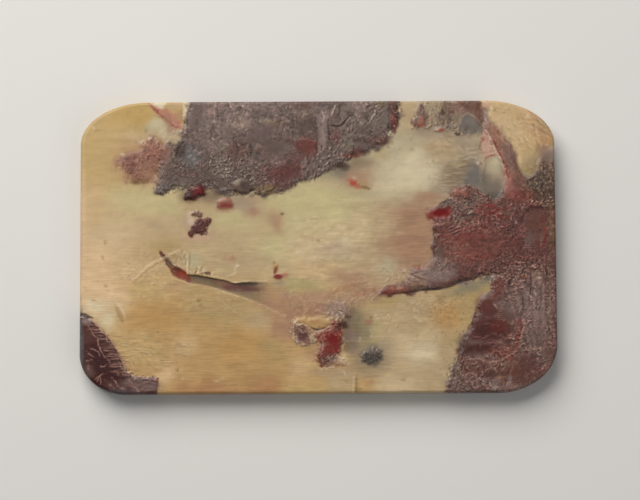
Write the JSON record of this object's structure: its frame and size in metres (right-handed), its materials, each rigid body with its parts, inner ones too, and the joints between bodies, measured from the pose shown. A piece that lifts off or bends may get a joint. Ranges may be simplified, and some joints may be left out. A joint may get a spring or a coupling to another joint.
{
  "type": "soapstone plaque",
  "caption": "Flat oblong soapstone plaque with rounded corners, carved in low relief with a river landscape of cliffs, trees, rocks and a boat in the stone's own colours.",
  "frame": {"origin": "centre of the flat back, on the surface that the plaque lies on", "axes": "+Z out of the carved face, +X along the long side to the right of the picture, +Y to the top of the picture"},
  "size_m": [0.19, 0.117, 0.01],
  "materials": {
    "soapstone": "polished honey and cream soapstone with mauve, maroon and crimson clouds, softly waxed, finer tool marks in the ground"
  },
  "bodies": {
    "root": {"plaque": "soapstone"}
  },
  "joints": []
}
